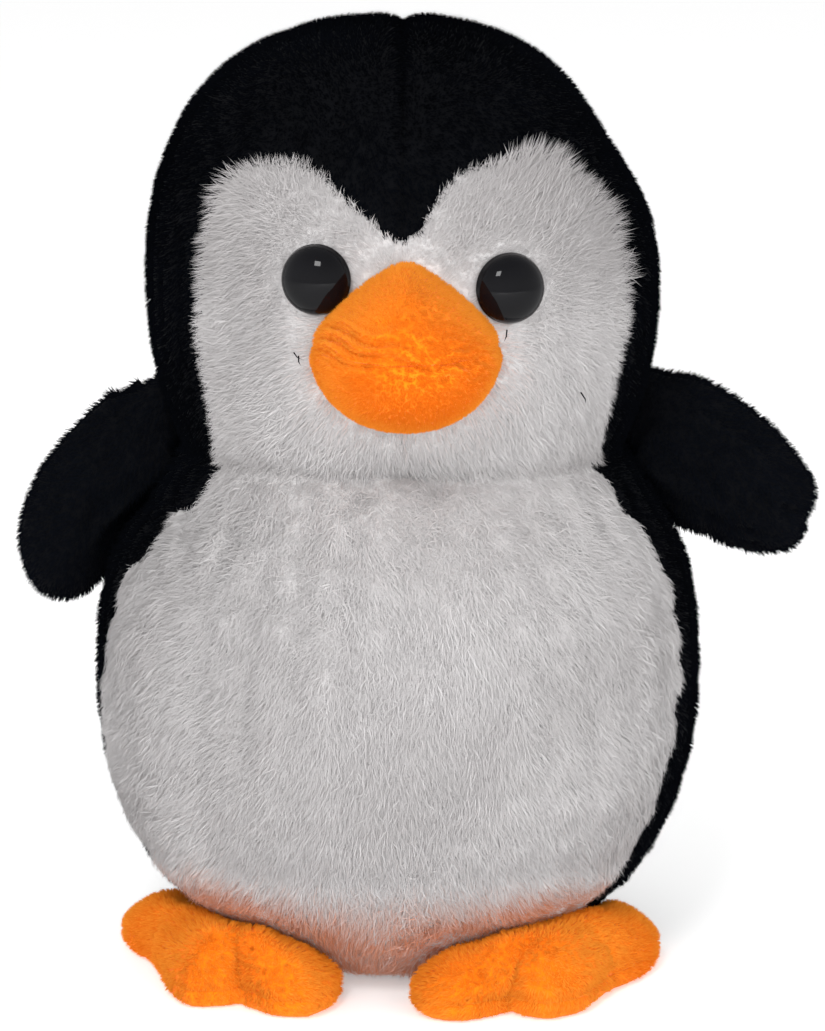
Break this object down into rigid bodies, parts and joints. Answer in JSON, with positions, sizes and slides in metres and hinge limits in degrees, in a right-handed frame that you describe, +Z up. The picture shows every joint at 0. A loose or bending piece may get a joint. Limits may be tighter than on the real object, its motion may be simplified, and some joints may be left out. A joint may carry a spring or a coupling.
{
  "type": "plush penguin",
  "caption": "Standing plush penguin: round filled torso and nodding head, button eyes, soft beak, side flippers and toed feet, with a flat base to rest on.",
  "frame": {"origin": "middle of the flat base, on the surface that the toy stands on", "axes": "+Z up, -Y the way the face looks, +X the toy's own left side"},
  "size_m": [0.2132, 0.159, 0.251],
  "materials": {
    "white_plush": "matte",
    "black_plush": "matte",
    "orange_plush": "matte",
    "filling": "matte",
    "pellet_cloth": "matte",
    "eye_plastic": "gloss",
    "washer_plastic": "satin"
  },
  "bodies": {
    "torso": {"belly_panel": "white_plush", "back_panel_left": "black_plush", "back_panel_right": "black_plush", "base_panel": "black_plush", "body_stuffing": "filling", "pellet_bag": "pellet_cloth"},
    "head": {"face_panel_left": "white_plush", "face_panel_right": "white_plush", "head_panel_left": "black_plush", "head_panel_right": "black_plush", "head_stuffing": "filling", "eye_left": "eye_plastic", "eye_right": "eye_plastic", "eye_washer_left": "washer_plastic", "eye_washer_right": "washer_plastic", "beak_upper": "orange_plush", "beak_lower": "orange_plush", "beak_stuffing": "filling"},
    "flipper_left": {"flipper_left_front": "black_plush", "flipper_left_back": "black_plush", "flipper_left_stuffing": "filling"},
    "flipper_right": {"flipper_right_front": "black_plush", "flipper_right_back": "black_plush", "flipper_right_stuffing": "filling"},
    "foot_left": {"foot_left_top": "orange_plush", "foot_left_sole": "orange_plush", "foot_left_stuffing": "filling"},
    "foot_right": {"foot_right_top": "orange_plush", "foot_right_sole": "orange_plush", "foot_right_stuffing": "filling"}
  },
  "joints": [
    {"name": "neck_nod", "type": "hinge", "parent": "torso", "child": "head", "pos_m": [0, 0, 0.095], "axis": [1, 0, 0], "range_deg": [-8, 8], "stiffness_Nm_per_rad": 1.2},
    {"name": "flipper_left_swing", "type": "hinge", "parent": "torso", "child": "flipper_left", "pos_m": [0.0701, 0.01, 0.138], "axis": [0.2174, 0, -0.9761], "range_deg": [-35, 40], "stiffness_Nm_per_rad": 0.05},
    {"name": "flipper_right_swing", "type": "hinge", "parent": "torso", "child": "flipper_right", "pos_m": [-0.0721, 0.01, 0.138], "axis": [0.2174, 0, 0.9761], "range_deg": [-35, 40], "stiffness_Nm_per_rad": 0.05},
    {"name": "foot_left_lift", "type": "hinge", "parent": "torso", "child": "foot_left", "pos_m": [0.031, -0.02725, 0.004], "axis": [-0.7598, -0.6502, 0], "range_deg": [0, 6], "stiffness_Nm_per_rad": 0.1},
    {"name": "foot_right_lift", "type": "hinge", "parent": "torso", "child": "foot_right", "pos_m": [-0.038, -0.0235, 0.004], "axis": [-0.6482, 0.7615, 0], "range_deg": [0, 6], "stiffness_Nm_per_rad": 0.1}
  ]
}
